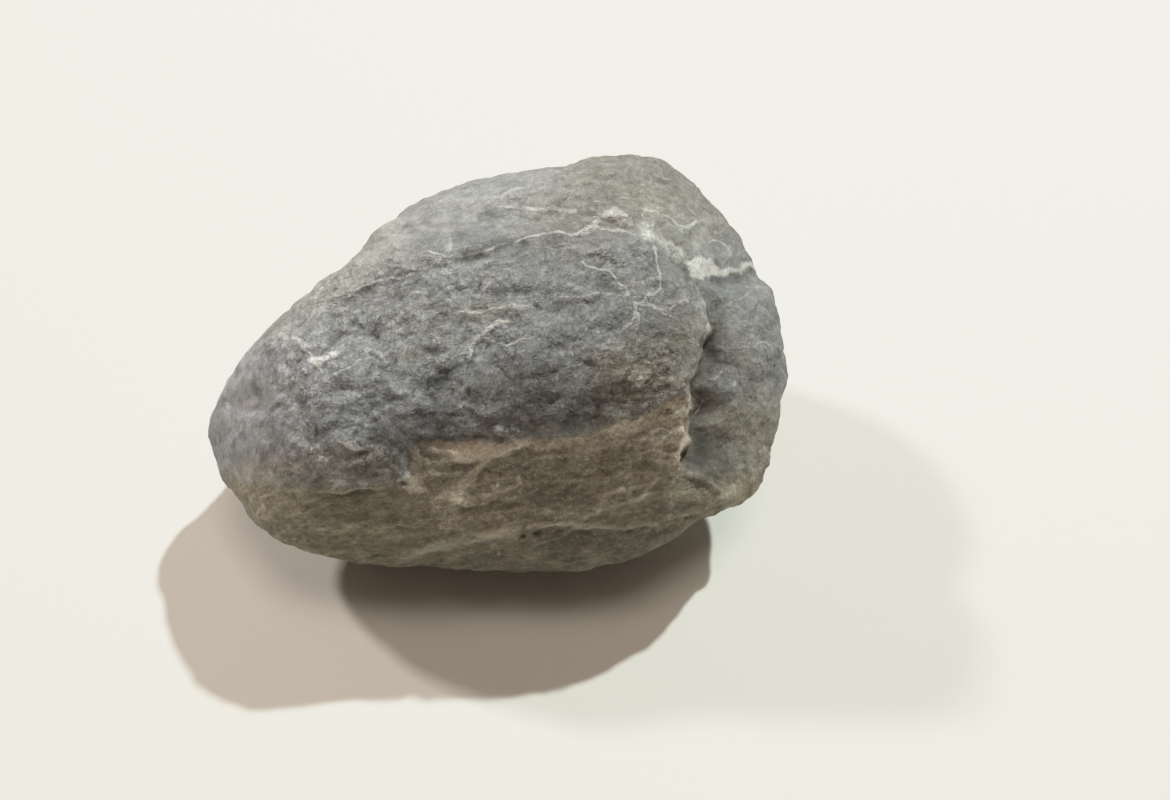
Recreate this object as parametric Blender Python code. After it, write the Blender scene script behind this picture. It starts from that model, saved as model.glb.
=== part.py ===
"""River pebble: one solid lump of grey limestone, worn round by a river.

The stone rests on a worn flat on its underside. Its broad side faces up and to the front
(-Y). The narrow end is at -X and the thick end at +X. Near the thick end the front block
breaks off in a ledge, and the rest of the stone carries on behind and beside it.

Sizes are in millimetres and degrees. The shape is made in three steps:
  1. a round body that many worn faces cut flat, with softly rounded edges between them;
  2. relief drawn on the broad side: dents, the ledge, broken layers, ridges and grooves;
  3. the waves, low lumps and layering that run all round the stone;
and a small worn flat underneath, which it rests on.

Places on the broad side are (u, v): u runs along +X and v up the slope of that side, from
the stone's middle. They are drawn in perspective, as the stone looks from EYE.
"""

import math

import bpy
import numpy as np
from mathutils import Vector, noise

MM = 0.001

# ---- Driving dimensions -------------------------------------------------------------

BROAD_SIDE_TILT = 50.0  # the broad side's normal stands this far above the horizon
BASE_DEPTH = 24.5  # from the stone's middle down to the flat that it rests on
BASE_ROUNDING = 1.5  # the height over which that flat runs out into the sides
EYE_DISTANCE = 157.0  # from EYE to the plane of the drawing, through the middle
EYE_OVER = (11.5, -5.2)  # the point (u, v) right under EYE
EDGE_SHARPNESS = 19.0  # higher makes the edges between worn faces tighter
FINE_LEVEL = 8  # subdivisions of the ball that the stone is shaped from
TRIANGLES = 9600  # how many are kept, most of them where the relief is

# Worn faces: turn goes anticlockwise round the broad side's outline from +X, lean is how
# far the face leans from that outline towards the broad side, and reach is its distance
# from the stone's middle.
WORN_FACES = {
    # round the outline
    "thick_end": (8, 0, 41.5),
    "thick_end_shoulder": (38, 0, 37.8),
    "top_corner": (62, 0, 36.6),
    "back_flank": (102, -8, 23.1),
    "narrow_end_flank": (133, 0, 22.7),
    "narrow_tip": (168, 0, 41.6),
    "narrow_end_low": (-162, 0, 43.6),
    "front_low_left": (-121, 0, 35.6),
    "front_low_edge": (-90, 0, 29.0),
    "front_low_right": (-64, 0, 31.4),
    "thick_end_low": (-19, 0, 44.0),
    # the broad side
    "top": (100, 62, 22.4),
    "top_back": (103, 28, 25.3),
    "crown": (-85, 88, 26.8),
    "crown_left": (-161, 70, 31.2),
    "top_left": (150, 42, 28.0),
    "top_right": (48, 45, 28.8),
    "front": (-85, 58, 27.0),
    "front_lower": (-92, 28, 29.0),
    "front_left": (-115, 47, 32.8),
    "left_front": (-165, 38, 35.4),
    "right_front": (-8, 40, 34.6),
    # the side that faces down and back
    "back": (88, -28, 29.5),
    "back_low": (95, -68, 28.0),
    "back_right": (40, -45, 32.0),
    "back_left": (140, -48, 29.5),
    "under_right": (-25, -44, 28.6),
    "under_left": (-158, -45, 28.4),
    "under_front": (-92, -25, 27.4),
    "under_back": (-90, -82, 28.2),
}

# Dents (minus) and swellings (plus) on the broad side: (u, v), radius, height.
SWELLINGS = {
    "narrow_end_swell": ((-35.5, 7.0), 6.0, 2.2),
    "left_waist": ((-20.5, 13.4), 5.5, -1.0),
    "notch_at_shoulder": ((34.5, 12.6), 3.2, -1.0),
    "front_block_crown": ((15.0, 2.0), 13.0, 1.2),
    "thick_end_lobe": ((37.5, -2.0), 8.0, 0.9),
    "low_right_corner": ((32.0, -17.5), 5.5, 2.0),
    "low_left_nick": ((-36.6, -19.5), 2.2, -0.8),
    "narrow_end_hollow": ((-35.5, -5.5), 1.8, -0.8),
    "upper_left_hollow": ((-17.7, 3.8), 1.5, -0.7),
    "upper_left_hollow_2": ((-23.0, 3.4), 1.4, -0.5),
    "middle_hollow": ((-8.6, -2.2), 1.4, -0.5),
    "ledge_hole": ((22.9, -6.8), 0.8, -0.9),
}

# Edges of broken layers. Just to the right of the line's direction of travel the stone
# drops by `drop`, and it comes back up over `run`. Each point is (u, v, drop).
BROKEN_EDGES = {
    "ledge": (
        28.0,
        [
            (22.4, -24.0, 0.0),
            (23.6, -19.4, 0.9),
            (24.6, -15.0, 2.4),
            (25.6, -10.8, 4.4),
            (26.2, -6.4, 5.2),
            (26.4, -2.6, 5.4),
            (27.6, 1.0, 5.2),
            (28.6, 4.8, 4.4),
            (27.6, 8.6, 3.0),
            (25.8, 12.0, 1.6),
            (22.8, 15.4, 0.7),
            (19.6, 18.2, 0.0),
        ],
    ),
    "peeled_front": (
        9.0,
        [
            (-14.4, -20.4, 0.0),
            (-13.2, -17.0, 0.8),
            (-12.4, -12.4, 1.2),
            (-8.6, -10.9, 1.3),
            (-0.4, -10.8, 1.3),
            (8.0, -10.5, 1.2),
            (14.4, -9.6, 1.2),
            (20.0, -7.6, 1.1),
            (24.4, -5.0, 0.7),
            (27.0, -3.6, 0.0),
        ],
    ),
    "shelf_behind": (
        4.0,
        [
            (7.0, 19.6, 0.0),
            (11.0, 20.6, 0.7),
            (14.8, 20.6, 1.1),
            (17.6, 19.4, 1.0),
            (20.4, 17.6, 0.0),
        ],
    ),
    "layer_left": (
        5.0,
        [
            (-33.0, 3.0, 0.0),
            (-27.6, 6.9, 0.4),
            (-20.6, 10.2, 0.5),
            (-12.0, 13.2, 0.4),
            (-3.4, 15.3, 0.4),
            (3.0, 16.0, 0.0),
        ],
    ),
    "layer_back": (
        5.0,
        [
            (-12.0, 15.2, 0.0),
            (-5.8, 15.0, 0.4),
            (2.0, 16.8, 0.5),
            (9.4, 18.2, 0.5),
            (16.6, 18.0, 0.0),
        ],
    ),
    "layer_middle": (
        4.0,
        [
            (-10.0, 4.8, 0.0),
            (-6.0, 5.8, 0.4),
            (0.6, 7.4, 0.5),
            (9.0, 8.4, 0.4),
            (17.0, 9.0, 0.0),
        ],
    ),
    "crack_middle": (
        3.0,
        [
            (-6.2, -2.6, 0.0),
            (-4.6, 0.4, 0.5),
            (-2.2, 2.9, 0.7),
            (1.8, 3.0, 0.6),
            (5.2, 3.8, 0.0),
        ],
    ),
    "lower_left_layer": (
        4.0,
        [
            (-36.0, -16.8, 0.0),
            (-28.0, -17.2, 0.4),
            (-20.0, -17.4, 0.6),
            (-13.6, -18.0, 0.0),
        ],
    ),
    "scar_layer": (
        3.5,
        [
            (-10.4, -19.2, 0.0),
            (-6.2, -19.0, 0.8),
            (-1.4, -18.6, 0.9),
            (3.0, -16.0, 0.7),
            (8.0, -14.4, 0.0),
        ],
    ),
    "low_layer": (
        5.0,
        [
            (-17.0, -27.0, 0.0),
            (-10.0, -25.6, 0.7),
            (-3.0, -24.2, 0.9),
            (5.0, -22.8, 0.9),
            (12.4, -20.6, 0.9),
            (17.6, -18.2, 0.8),
            (22.6, -15.8, 0.0),
        ],
    ),
    "lowest_layer": (
        4.0,
        [
            (5.4, -23.6, 0.0),
            (13.0, -23.0, 0.5),
            (22.0, -22.4, 0.6),
            (28.0, -20.2, 0.6),
            (34.4, -18.6, 0.0),
        ],
    ),
}

# Grooves (minus) and ridges (plus): half width, then (u, v, height) along the line.
GROOVES_AND_RIDGES = {
    "groove_to_shoulder": (
        1.3,
        [
            (17.0, 19.4, 0.0),
            (21.4, 16.8, -0.7),
            (25.6, 13.8, -1.0),
            (29.4, 12.8, -1.2),
            (35.0, 12.9, -1.3),
            (38.0, 12.9, -1.0),
        ],
    ),
    "groove_behind": (
        1.0,
        [(-6.0, 19.6, 0.0), (0.6, 20.8, -0.5), (6.0, 20.6, -0.5), (12.0, 20.0, 0.0)],
    ),
    "rib_under_ledge": (
        1.2,
        [(24.4, -14.8, 0.0), (28.0, -16.6, 0.6), (32.4, -19.0, 0.5), (35.0, -19.6, 0.0)],
    ),
}

LINE_DETAIL = 8  # straight pieces between two points of a line
RUN_OUT = 12.0  # how far a line's ends are carried on, with nothing to show there
RUN_OUT_PIECES = 4
NEARNESS = 0.6  # a line's value at a place is the mean of its values, the near ones first
NEARNESS_POWER = 4
EDGE_WIDTH = 1.1  # how far a broken edge takes to drop
EDGE_WANDER = ((6.0, 0.8), (2.6, 0.35))  # (wavelength, how far) a broken edge strays
# The broad side's relief fades out where the stone turns away from it, between these
# shares of "towards the broad side".
FADE = (-0.42, -0.12)

# All round the stone: (wavelength, height) of its waves, the size and height of the low
# lumps that knocks have left, then the layering.
UNEVENNESS = ((22.0, 0.7), (9.0, 0.5), (4.2, 0.25))
LUMP_SIZE, LUMP_HEIGHT = 6.2, 0.55
LUMP_ROUNDNESS = 0.6  # lower makes the creases between lumps narrower
LAYER_TURN, LAYER_LEAN = 100, -18  # the direction through the layers
LAYER_LENGTH, LAYER_THICKNESS, LAYER_HEIGHT = 26.0, 3.4, 0.35

# ---- The drawing's frame ------------------------------------------------------------

TILT = math.radians(BROAD_SIDE_TILT)
ALONG = np.array([1.0, 0.0, 0.0])
UP_SLOPE = np.array([0.0, math.sin(TILT), math.cos(TILT)])
OUT = np.array([0.0, -math.cos(TILT), math.sin(TILT)])


def on_drawing(points):
    """(u, v) of each point, as seen from EYE."""
    height = points @ OUT
    spread = EYE_DISTANCE / (EYE_DISTANCE - height)
    u = EYE_OVER[0] + (points @ ALONG - EYE_OVER[0]) * spread
    v = EYE_OVER[1] + (points @ UP_SLOPE - EYE_OVER[1]) * spread
    return np.stack([u, v], axis=1)


def direction(turn, lean):
    turn, lean = math.radians(turn), math.radians(lean)
    round_outline = math.cos(turn) * ALONG + math.sin(turn) * UP_SLOPE
    return math.cos(lean) * round_outline + math.sin(lean) * OUT


def smooth(low, high, value):
    """0 below low, 1 above high, and an S between them."""
    share = np.clip((value - low) / (high - low), 0, 1)
    return share * share * (3 - 2 * share)


# ---- 1. The body --------------------------------------------------------------------


def worn_body(rays):
    """The surface point along each ray from the middle, and the surface's normal there."""
    total = np.zeros(len(rays))
    normals = np.zeros_like(rays)
    for turn, lean, reach in WORN_FACES.values():
        face = direction(turn, lean)
        share = np.clip(rays @ face, 0, None) / reach
        total += share**EDGE_SHARPNESS
        normals += (share ** (EDGE_SHARPNESS - 1) / reach)[:, None] * face
    normals /= np.linalg.norm(normals, axis=1)[:, None]
    return rays * (total ** (-1 / EDGE_SHARPNESS))[:, None], normals


# ---- 2. Relief on the broad side ----------------------------------------------------


def smooth_line(points):
    """Points along a curve through the given ones (Catmull-Rom)."""
    points = np.array(points)
    padded = np.vstack([2 * points[0] - points[1], points, 2 * points[-1] - points[-2]])
    line = []
    for before, start, end, after in zip(padded, padded[1:], padded[2:], padded[3:]):
        for step in range(LINE_DETAIL):
            t = step / LINE_DETAIL
            line.append(
                0.5
                * (
                    2 * start
                    + (end - before) * t
                    + (2 * before - 5 * start + 4 * end - after) * t**2
                    + (3 * start - before - 3 * end + after) * t**3
                )
            )
    return np.array(line + [points[-1]])


def run_out(line):
    """The line carried on straight past both ends, where its value is 0."""
    steps = np.arange(1, RUN_OUT_PIECES + 1)[:, None] * RUN_OUT / RUN_OUT_PIECES
    first, last = line[0] - line[1], line[-1] - line[-2]
    before = line[0] + steps[::-1] * first / np.linalg.norm(first[:2])
    after = line[-1] + steps * last / np.linalg.norm(last[:2])
    before[:, 2] = 0
    after[:, 2] = 0
    return np.vstack([before, line, after])


def beside(places, points):
    """Distance of each place to the line, plus on its right, and the line's value there."""
    line = run_out(smooth_line(points))
    nearest = np.full(len(places), np.inf)
    right = np.zeros(len(places))
    weights = np.zeros(len(places))
    value = np.zeros(len(places))
    for start, end in zip(line, line[1:]):
        run = end[:2] - start[:2]
        offset = places - start[:2]
        share = np.clip(offset @ run / (run @ run), 0, 1)
        distance = np.linalg.norm(offset - share[:, None] * run, axis=1)
        closer = distance < nearest
        nearest[closer] = distance[closer]
        right[closer] = (offset[:, 1] * run[0] - offset[:, 0] * run[1])[closer]
        weight = np.linalg.norm(run) / (distance + NEARNESS) ** NEARNESS_POWER
        weights += weight
        value += weight * (start[2] + share * (end[2] - start[2]))
    return np.where(right < 0, nearest, -nearest), value / weights


def strays(places):
    """How far a broken edge strays from its line at each place."""
    far = np.zeros(len(places))
    for wavelength, amount in EDGE_WANDER:
        waves = places / wavelength
        far += np.array([amount * noise.noise(Vector((u, v, 0))) for u, v in waves])
    return far


def relief(places):
    """How far the surface rises at each place on the broad side."""
    rise = np.zeros(len(places))
    for centre, radius, height in SWELLINGS.values():
        distance = np.linalg.norm(places - np.array(centre), axis=1)
        rise += height * np.exp(-((distance / radius) ** 2))
    wander = strays(places)
    for run, points in BROKEN_EDGES.values():
        distance, drop = beside(places, points)
        distance += wander
        edge = smooth(-EDGE_WIDTH / 2, EDGE_WIDTH / 2, distance)
        rise -= drop * edge * np.exp(-np.clip(distance, 0, None) / run)
    for half_width, points in GROOVES_AND_RIDGES.values():
        distance, height = beside(places, points)
        rise += height * np.exp(-((distance / half_width) ** 2))
    return rise


# ---- 3. All round the stone ---------------------------------------------------------


def lump(place):
    """1 in the middle of a lump, less towards the crease where it meets its neighbours."""
    nearest, second = noise.voronoi(Vector(place))[0][:2]
    return min(1.0, second - nearest) ** LUMP_ROUNDNESS


def unevenness(points):
    """Waves, lumps, and thin layers that lie across the direction through the layers."""
    through = direction(LAYER_TURN, LAYER_LEAN)
    stretch = 1 / LAYER_THICKNESS - 1 / LAYER_LENGTH
    in_layers = points / LAYER_LENGTH + np.outer(points @ through, through) * stretch
    rise = np.array([LAYER_HEIGHT * noise.noise(Vector(place)) for place in in_layers])
    for wavelength, height in UNEVENNESS:
        waves = points / wavelength
        rise += np.array([height * noise.noise(Vector(place)) for place in waves])
    lumps = np.array([lump(place) for place in points / LUMP_SIZE])
    return rise + LUMP_HEIGHT * (lumps - lumps.mean())


def worn_flat(heights):
    """The heights with those under the base raised to it, and a soft edge round it."""
    near = np.clip(1 - np.abs(heights + BASE_DEPTH) / BASE_ROUNDING, 0, None)
    return np.maximum(heights, -BASE_DEPTH) + near**2 * BASE_ROUNDING / 4


# ---- The stone ----------------------------------------------------------------------


def limestone():
    material = bpy.data.materials.new("grey_limestone")
    material.use_nodes = True
    shader = material.node_tree.nodes["Principled BSDF"]
    shader.inputs["Base Color"].default_value = (0.23, 0.23, 0.22, 1)
    shader.inputs["Roughness"].default_value = 0.85
    shader.inputs["Metallic"].default_value = 0.0
    return material


def stand_on_origin(stone):
    """Puts the middle of the underside's box at the origin."""
    graph = bpy.context.evaluated_depsgraph_get()
    corners = np.array([corner[:] for corner in stone.evaluated_get(graph).bound_box])
    low, high = corners.min(axis=0), corners.max(axis=0)
    stone.location = (-(low[0] + high[0]) / 2, -(low[1] + high[1]) / 2, -low[2])


def pebble():
    bpy.ops.mesh.primitive_ico_sphere_add(subdivisions=FINE_LEVEL, radius=1)
    stone = bpy.context.object
    stone.name = "pebble"
    stone.data.name = "pebble"
    rays = np.array([vertex.co[:] for vertex in stone.data.vertices])
    rays /= np.linalg.norm(rays, axis=1)[:, None]
    points, normals = worn_body(rays)
    shown = smooth(*FADE, rays @ OUT)
    drawn_way = normals + shown[:, None] * OUT
    drawn_way /= np.linalg.norm(drawn_way, axis=1)[:, None]
    drawn = relief(on_drawing(points)) * shown
    points += drawn_way * drawn[:, None] + normals * unevenness(points)[:, None]
    points[:, 2] = worn_flat(points[:, 2])
    stone.data.vertices.foreach_set("co", (points * MM).ravel())
    stone.data.shade_smooth()
    stone.data.materials.append(limestone())
    thin_out = stone.modifiers.new("fewer_faces", "DECIMATE")
    thin_out.ratio = TRIANGLES / len(stone.data.polygons)
    stand_on_origin(stone)


for old in list(bpy.data.objects):
    bpy.data.objects.remove(old)
pebble()
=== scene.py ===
"""The river pebble's looks: a fine surface and a stone material over the CAD solid.

The CAD solid is remeshed finely and smoothed, and rock detail is worked into it in mesh code:
lumps, chips, thin beds and grain all round, and on the broad side the ragged ledge, the peeled
front, and the edges, ridges and hollows that the photograph has. Veins, crystals and shades are
kept as values on the mesh's points, which the material reads.

Lengths are in millimetres, and only the meshes, the camera and the lights are in metres.
Places on the broad side are pixels of the photograph's 1170 x 800 frame. The stone is drawn
through the camera, so a drawn line lies on the surface wherever that surface is.
"""

import math

import bpy
import numpy as np
from mathutils import Matrix, Vector, noise


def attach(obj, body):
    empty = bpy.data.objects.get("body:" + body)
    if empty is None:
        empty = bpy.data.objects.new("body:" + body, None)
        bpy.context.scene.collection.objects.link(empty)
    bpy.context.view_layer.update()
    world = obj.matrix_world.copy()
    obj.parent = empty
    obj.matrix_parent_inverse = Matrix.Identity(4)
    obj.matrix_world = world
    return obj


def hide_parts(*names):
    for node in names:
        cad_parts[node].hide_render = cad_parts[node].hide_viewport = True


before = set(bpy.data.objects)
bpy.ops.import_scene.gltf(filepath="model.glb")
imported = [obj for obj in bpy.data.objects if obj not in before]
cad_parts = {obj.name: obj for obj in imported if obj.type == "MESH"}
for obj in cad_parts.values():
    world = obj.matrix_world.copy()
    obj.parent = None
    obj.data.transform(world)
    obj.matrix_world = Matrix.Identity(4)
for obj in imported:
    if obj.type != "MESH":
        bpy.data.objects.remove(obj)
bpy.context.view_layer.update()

MM = 0.001

# ---- The camera

PHOTO_WIDTH, PHOTO_HEIGHT = 1170, 800
CAMERA_TILT = math.radians(50)  # above the horizon
CAMERA_DISTANCE = 157.0  # to the plane through the stone's middle
CAMERA_ASIDE, CAMERA_BELOW = 11.5, 5.2  # how far the stone's middle is off the view's middle
STONE_MIDDLE = np.array([0.07, -0.64, 24.5])
LENS, SENSOR = 35.0, 36.0

ALONG = np.array([1.0, 0.0, 0.0])
UP_SLOPE = np.array([0.0, math.sin(CAMERA_TILT), math.cos(CAMERA_TILT)])
OUT = np.array([0.0, -math.cos(CAMERA_TILT), math.sin(CAMERA_TILT)])
EYE = STONE_MIDDLE + CAMERA_DISTANCE * OUT + CAMERA_ASIDE * ALONG - CAMERA_BELOW * UP_SLOPE
FOCAL_PIXELS = PHOTO_WIDTH * LENS / SENSOR
PIXEL = CAMERA_DISTANCE / FOCAL_PIXELS  # the size of a pixel at the stone's middle


def in_photo(points):
    """The pixel of the photograph that each point is seen at."""
    offset = points - EYE
    depth = -(offset @ OUT)
    across = PHOTO_WIDTH / 2 + FOCAL_PIXELS * (offset @ ALONG) / depth
    down = PHOTO_HEIGHT / 2 - FOCAL_PIXELS * (offset @ UP_SLOPE) / depth
    return np.stack([across, down], axis=1)


# ---- What the broad side shows, in pixels

# The ledge that the whole block ends in. Its left hand is the low lobe on the right.
LEDGE = [
    (640, 234), (655, 239), (668, 249), (681, 263), (690, 276), (697, 292), (705, 310), (709, 328),
    (705, 338), (700, 345), (702, 356), (696, 370), (689, 384), (691, 396), (692, 408), (686, 420),
    (686, 431), (691, 441), (684, 452), (680, 462), (681, 474),
]
# The deepest place of the groove at the ledge's foot: place, radius, depth (mm).
DEEP_GAP = ((706, 349), 11, 0.5)
# The low lobe's underside on the right, which falls away from the camera.
FALLS_AWAY = ((742, 500), 62, 4.0)

FOOT_DEPTH, FOOT_REACH = 2.8, 50  # the low lobe sinks towards the ledge: mm, pixels
GROOVE_DEPTH, GROOVE_REACH = 1.2, 22  # with a groove at the ledge's foot
RIM_LIFT, RIM_REACH = 0.5, 14  # and the block's rim stands a little proud

# Where the outer skin of the front has come off, down to the tan stone below it.
PEEL_EDGE = [
    (232, 486), (262, 488), (292, 485), (330, 488), (352, 486), (376, 485), (392, 487), (403, 481),
    (413, 474), (411, 458), (416, 445), (432, 444), (453, 443), (478, 443), (499, 441), (516, 439),
    (540, 443), (569, 440), (590, 437), (611, 429), (632, 420), (653, 411), (670, 402), (688, 396),
]

UNDERSIDE_DEPTH, UNDERSIDE_REACH = 0.45, 70  # the block draws in towards that edge: mm, pixels
LIP_HEIGHT = 0.2  # and the tan stone's lip stands out below it

# White calcite: half width in pixels, how white (0 to 1), then the line's points.
VEINS = {
    "bed_behind": (
        1.1, 0.55, (418, 254), (431, 253), (449, 256), (468, 256), (480, 251), (497, 245), (514, 241),
    ),
    "bed_behind_on": (
        1.3, 0.75, (512, 242), (533, 236), (549, 233), (562, 231), (574, 234), (587, 230), (602, 230),
    ),
    "bed_behind_end": (1.0, 0.6, (600, 230), (621, 231), (640, 236)),
    "spur_behind": (1.5, 0.9, (586, 234), (592, 228), (599, 223)),
    "back_band": (2.2, 0.5, (500, 207), (520, 208), (545, 208), (565, 210), (590, 212), (603, 214)),
    "rim_below": (1.8, 0.6, (696, 286), (702, 301), (706, 316), (709, 328), (708, 338)),
    "shoulder_spike": (1.0, 0.9, (694, 276), (697, 266), (693, 256)),
    "shoulder_spike_right": (1.0, 0.9, (698, 270), (706, 262), (711, 260)),
    "over_shoulder": (1.6, 0.7, (724, 274), (734, 271), (746, 267), (758, 268)),
    "junction_up": (1.2, 0.45, (644, 226), (642, 215), (648, 209), (657, 210)),
    "back_right": (1.2, 0.5, (664, 216), (671, 221), (677, 225), (688, 225), (700, 222)),
    "back_right_low": (1.0, 0.35, (658, 230), (672, 228), (690, 234)),
    "shoulder_loop": (0.9, 0.35, (724, 268), (730, 252), (728, 244), (718, 240), (706, 243)),
    "net_left": (
        0.9, 0.7, (582, 259), (590, 265), (600, 267), (610, 272), (619, 280), (627, 289), (637, 303),
    ),
    "net_right": (
        1.2, 0.85, (652, 244), (656, 254), (658, 266), (661, 278), (662, 286), (656, 294), (645, 299),
    ),
    "net_middle": (1.7, 0.75, (659, 293), (648, 297), (637, 303)),
    "net_down": (1.5, 0.7, (638, 302), (635, 312), (629, 320), (624, 332)),
    "net_down_thin": (0.8, 0.6, (638, 304), (637, 320), (638, 337)),
    "net_out": (1.0, 0.7, (638, 303), (652, 306), (664, 312), (680, 318)),
    "net_spur": (0.8, 0.5, (640, 288), (646, 281), (653, 276), (659, 279)),
    "net_far": (0.7, 0.45, (672, 306), (680, 302), (687, 298)),
    "net_top": (0.8, 0.4, (604, 264), (612, 260), (622, 257)),
    "left_bed": (
        1.2, 0.6, (316, 300), (334, 295), (353, 291), (367, 285), (386, 280), (407, 277), (427, 269),
    ),
    "left_bed_end": (1.2, 0.4, (424, 270), (440, 264), (455, 259)),
    "middle_bed": (1.3, 0.55, (456, 312), (476, 311), (491, 310), (507, 308), (517, 306), (529, 306)),
    "middle_bed_end": (0.9, 0.3, (528, 306), (552, 300), (570, 298), (588, 295), (610, 294), (628, 296)),
    "white_crack": (2.0, 0.95, (470, 355), (473, 346), (479, 336), (486, 331), (497, 327), (510, 324)),
    "white_crack_branch": (1.1, 0.8, (477, 341), (491, 342), (505, 344), (513, 341), (524, 337), (530, 337)),
    "below_crack": (0.8, 0.35, (469, 357), (465, 364), (464, 374), (465, 386)),
    "nose_band": (1.2, 0.5, (300, 338), (303, 345), (310, 355), (316, 362), (319, 371)),
    "nose_patch": (2.6, 0.75, (316, 358), (326, 357), (334, 354), (342, 352)),
    "nose_line": (0.8, 0.4, (321, 380), (342, 369), (363, 361), (382, 353), (400, 346)),
    "nose_top": (1.6, 0.5, (272, 345), (281, 336), (288, 333)),
    "nose_bright": (1.8, 0.7, (294, 337), (301, 341)),
    "block_hair": (0.8, 0.35, (552, 341), (559, 347), (561, 357)),
    "block_hair_low": (0.8, 0.6, (555, 381), (557, 373)),
    "block_crescent": (0.8, 0.35, (560, 369), (573, 366), (588, 359)),
    "block_scratch": (0.8, 0.35, (583, 336), (588, 330), (589, 322)),
    "upper_left_streak": (1.6, 0.35, (486, 204), (498, 198), (512, 190), (528, 181)),
    "upper_left_pale": (2.0, 0.4, (446, 236), (450, 245), (452, 252)),
    "left_chip": (2.6, 0.6, (343, 443), (352, 445), (364, 448)),
    "lobe_arc": (0.8, 0.4, (757, 345), (764, 343), (771, 347), (772, 354)),
    "lobe_hook": (0.8, 0.45, (738, 372), (737, 378), (731, 386)),
    "lobe_line": (0.8, 0.4, (694, 413), (702, 404), (712, 397)),
    "lobe_star": (0.9, 0.4, (711, 378), (717, 377), (722, 371)),
    "lobe_top_line": (0.8, 0.35, (738, 299), (745, 294), (751, 291)),
    "lobe_stray": (0.8, 0.35, (718, 305), (727, 306), (734, 301)),
}

# Edges of beds and chips. Each drops from its left hand: how far (mm), how far behind the
# edge the rise starts (pixels), then the points.
EDGES = {
    "bed_behind": (
        0.2, 22, (418, 256), (449, 258), (480, 253), (514, 243), (549, 235), (575, 236), (602, 232),
    ),
    "left_bed": (0.22, 20, (300, 306), (334, 297), (367, 287), (407, 279), (440, 266), (462, 259)),
    "middle_bed": (
        0.25, 18, (440, 322), (470, 320), (500, 316), (520, 311), (552, 303), (590, 298), (628, 299),
    ),
    "white_crack": (0.35, 12, (468, 359), (474, 347), (482, 336), (497, 330), (511, 327)),
    "block_facet": (0.35, 14, (588, 346), (592, 362), (590, 380), (584, 392)),
    "front_scale_left": (0.35, 12, (466, 352), (465, 368), (466, 386), (474, 398)),
    "front_scale_middle": (0.3, 12, (520, 362), (534, 370), (552, 368), (566, 358)),
    "left_streak_top": (0.2, 12, (318, 392), (345, 384), (372, 374), (400, 356), (425, 352)),
    "left_streak_low": (0.2, 12, (352, 406), (380, 402), (404, 394), (420, 398)),
    "left_ragged": (0.4, 10, (322, 446), (342, 446), (356, 451), (368, 452)),
    "left_ragged_low": (0.35, 10, (318, 466), (334, 460), (348, 466), (366, 462), (376, 466)),
    "nose_edge": (0.45, 16, (256, 420), (272, 408), (286, 396), (300, 391), (316, 390)),
    "nose_top_edge": (0.35, 14, (262, 348), (280, 346), (300, 348), (312, 362)),
    "back_step": (0.25, 18, (598, 220), (612, 219), (628, 224), (640, 232)),
    "tan_scar": (0.55, 14, (434, 502), (452, 503), (470, 504), (490, 499), (508, 493), (522, 485)),
    "tan_lens": (0.35, 9, (552, 506), (570, 506), (588, 506), (600, 509)),
    "tan_upper": (0.4, 12, (474, 462), (492, 468), (506, 466), (526, 462)),
    "tan_left": (0.35, 10, (300, 524), (330, 528), (362, 526), (390, 533), (412, 536)),
    "tan_left_top": (0.45, 12, (252, 492), (290, 490), (330, 491), (372, 490), (398, 489)),
}

# Ridges of harder beds across the tan front: height (mm), half width and how pale they are,
# then the points.
RIDGES = {
    "low_bed": (
        0.4, 7.0, 0.95, (388, 557), (411, 554), (438, 545), (460, 541), (492, 536), (512, 532), (528, 527),
    ),
    "low_bed_on": (
        0.22, 4.0, 0.85, (524, 528), (546, 523), (570, 525), (597, 527), (624, 527), (650, 524), (668, 521),
    ),
    "low_bed_end": (0.16, 5.0, 0.5, (662, 522), (685, 516), (706, 506), (722, 498), (740, 494)),
    "second_bed": (0.2, 2.0, 0.4, (524, 551), (546, 542), (566, 535), (582, 529), (602, 527)),
    "third_bed": (
        0.15, 4.0, 0.7, (570, 519), (590, 515), (611, 507), (632, 501), (645, 492), (655, 481), (666, 474),
    ),
    "lobe_bed": (0.2, 3.0, 0.35, (638, 541), (654, 527), (674, 517), (700, 505)),
    "lens_top": (0.2, 2.0, 0.25, (556, 499), (575, 498), (596, 502), (610, 505)),
    "rib_under_ledge": (0.18, 2.6, 0.3, (684, 474), (700, 478), (714, 488), (728, 496)),
    "left_fold": (0.25, 3.0, 0.2, (352, 522), (378, 522), (404, 524), (430, 520), (448, 512)),
    "low_left_fold": (0.25, 2.4, 0.3, (368, 560), (388, 556), (410, 553)),
}

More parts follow.
